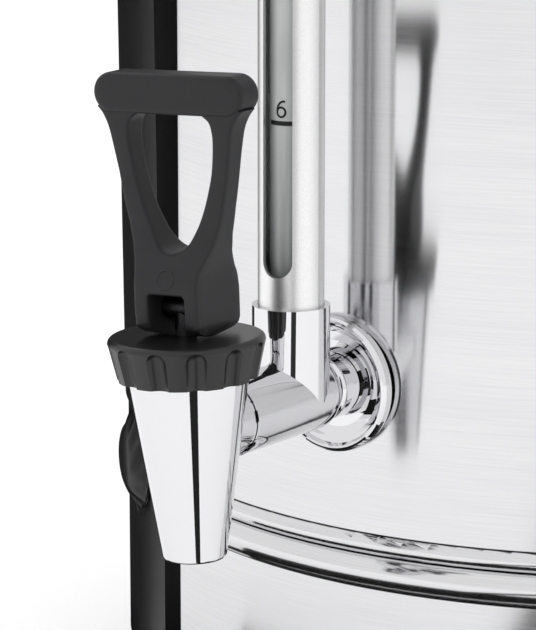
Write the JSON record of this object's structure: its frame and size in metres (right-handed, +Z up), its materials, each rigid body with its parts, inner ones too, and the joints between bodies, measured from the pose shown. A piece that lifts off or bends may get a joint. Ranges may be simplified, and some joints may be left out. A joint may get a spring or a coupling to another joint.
{
  "type": "coffee urn",
  "caption": "Cylindrical steel coffee percolator urn with a loop-lever tap, a slotted sight gauge over it, a black control column and side handles.",
  "frame": {"origin": "on the table, under the middle of the tank, at the foot of the base ring", "axes": "+Z up along the tank's axis; the tap and the gauge stand at -Y; the control column is 39 degrees round from the tap towards -X, on the left for a person facing the tap"},
  "size_m": [0.407, 0.4102, 0.4863],
  "materials": {
    "brushed_shell": "brushed",
    "satin_sheet": "satin",
    "polished_lid": "polished",
    "black_moulding": "fine texture",
    "dark_grey_lever": "satin",
    "chrome_fitting": "polished",
    "satin_aluminium": "satin",
    "gauge_tube": "clear",
    "silicone": "matte",
    "zinc_steel": "zinc plated",
    "element_sheath": "dull",
    "cream_moulding": "plain",
    "lamp_lens": "translucent"
  },
  "bodies": {
    "urn": {"body_shell": "brushed_shell", "tank_floor": "satin_sheet", "base_skirt": "brushed_shell", "base_ring": "black_moulding", "base_plate": "satin_sheet", "base_screws": "zinc_steel", "heater_plate": "satin_aluminium", "heating_element": "element_sheath", "boil_dry_cutout": "zinc_steel", "thermostat": "zinc_steel", "terminal_block": "cream_moulding", "cord_gland": "black_moulding", "control_column": "black_moulding", "column_screws": "zinc_steel", "pilot_lamps": "lamp_lens", "handle_left": "black_moulding", "handle_right": "black_moulding", "handle_screws": "zinc_steel", "escutcheon": "chrome_fitting", "gauge_tee": "chrome_fitting", "wall_washers": "silicone", "shank_nut": "zinc_steel", "gauge_seal": "silicone", "gauge_glass": "gauge_tube", "gauge_sleeve": "satin_aluminium", "gauge_cap": "chrome_fitting", "gauge_bracket": "chrome_fitting", "bracket_nut": "zinc_steel", "tap_body": "chrome_fitting", "valve_spring": "zinc_steel", "collar_nut": "black_moulding"},
    "knob": {"thermostat_shaft": "zinc_steel", "thermostat_knob": "black_moulding"},
    "stem": {"valve_stem": "chrome_fitting", "seat_cup": "silicone"},
    "lever": {"lever": "dark_grey_lever", "lever_pin": "zinc_steel"},
    "pump": {"riser_tube": "satin_sheet", "pump_bell": "satin_sheet"},
    "basket": {"coffee_basket": "satin_sheet"},
    "spreader": {"basket_lid": "satin_sheet"},
    "lid": {"lid": "polished_lid", "lid_knob": "black_moulding", "lid_screw": "zinc_steel"}
  },
  "joints": [
    {"name": "knob_turn", "type": "hinge", "parent": "urn", "child": "knob", "pos_m": [-0.0988, -0.12201, 0.0834], "axis": [-0.6293, -0.7771, 0], "range_deg": [-270, 0]},
    {"name": "stem_lift", "type": "slide", "parent": "urn", "child": "stem", "axis": [-0.0419, 0, 0.9991], "range_m": [0, 0.0026], "deforming": ["valve_spring"]},
    {"name": "lever_pull", "type": "hinge", "parent": "stem", "child": "lever", "pos_m": [-0.00145, -0.221, 0.16297], "axis": [0.9936, 0.1045, 0.0416], "range_deg": [0, 40], "stiffness_Nm_per_rad": 0.15, "springref_deg": -11.46},
    {"name": "pump_lift", "type": "slide", "parent": "urn", "child": "pump", "axis": [0, 0, 1], "range_m": [0, 0.33]},
    {"name": "basket_lift", "type": "slide", "parent": "pump", "child": "basket", "axis": [0, 0, 1], "range_m": [0, 0.1]},
    {"name": "spreader_lift", "type": "slide", "parent": "basket", "child": "spreader", "axis": [0, 0, 1], "range_m": [0, 0.04]},
    {"name": "lid_lift", "type": "slide", "parent": "spreader", "child": "lid", "axis": [0, 0, 1], "range_m": [0, 0.12]}
  ],
  "couplings": [
    {"joint": "stem_lift", "follows": "lever_pull", "m_per_rad": 0.003724}
  ]
}
